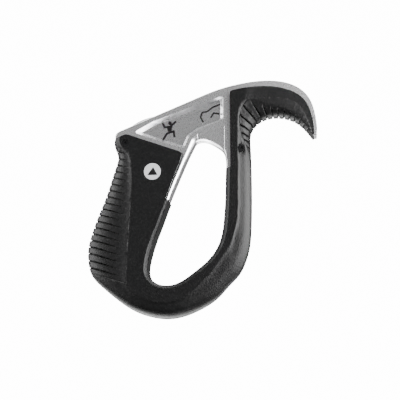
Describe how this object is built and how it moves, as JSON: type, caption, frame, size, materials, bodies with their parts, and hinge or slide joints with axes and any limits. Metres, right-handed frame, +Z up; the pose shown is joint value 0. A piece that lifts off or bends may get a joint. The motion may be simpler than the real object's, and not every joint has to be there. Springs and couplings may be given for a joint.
{
  "type": "ice axe",
  "caption": "Short hand-held ice tool with a closed finger loop, black grooved grip and a rubber-lined hook on a metal head.",
  "frame": {"origin": "middle of the grip, on the tool's middle plane", "axes": "+X from the palm towards the hook, +Z up towards the head, +Y through the thickness to the left side"},
  "size_m": [0.1785, 0.024, 0.1857],
  "materials": {
    "bare_metal": "bead-blasted, clear anodised, satin",
    "moulded_black": "fine moulded grain, matt",
    "soft_black": "soft-touch, grooved, matt",
    "black_steel": "black oxide, satin",
    "steel_pin": "ground",
    "badge_grey": "light grey, satin",
    "mark_ink": "black print"
  },
  "bodies": {
    "root": {"frame": "bare_metal", "right_cover": "moulded_black", "left_cover": "moulded_black", "palm_pad": "soft_black", "hook_pad": "soft_black", "inner_strip": "moulded_black", "outer_strip": "moulded_black", "rear_bolt": "black_steel", "front_bolt": "black_steel", "rear_nut": "black_steel", "front_nut": "black_steel", "dowel_pins": "steel_pin", "right_emblem": "badge_grey", "left_emblem": "badge_grey", "right_climber_mark": "mark_ink", "left_climber_mark": "mark_ink", "right_crag_mark": "mark_ink", "left_crag_mark": "mark_ink"}
  },
  "joints": []
}
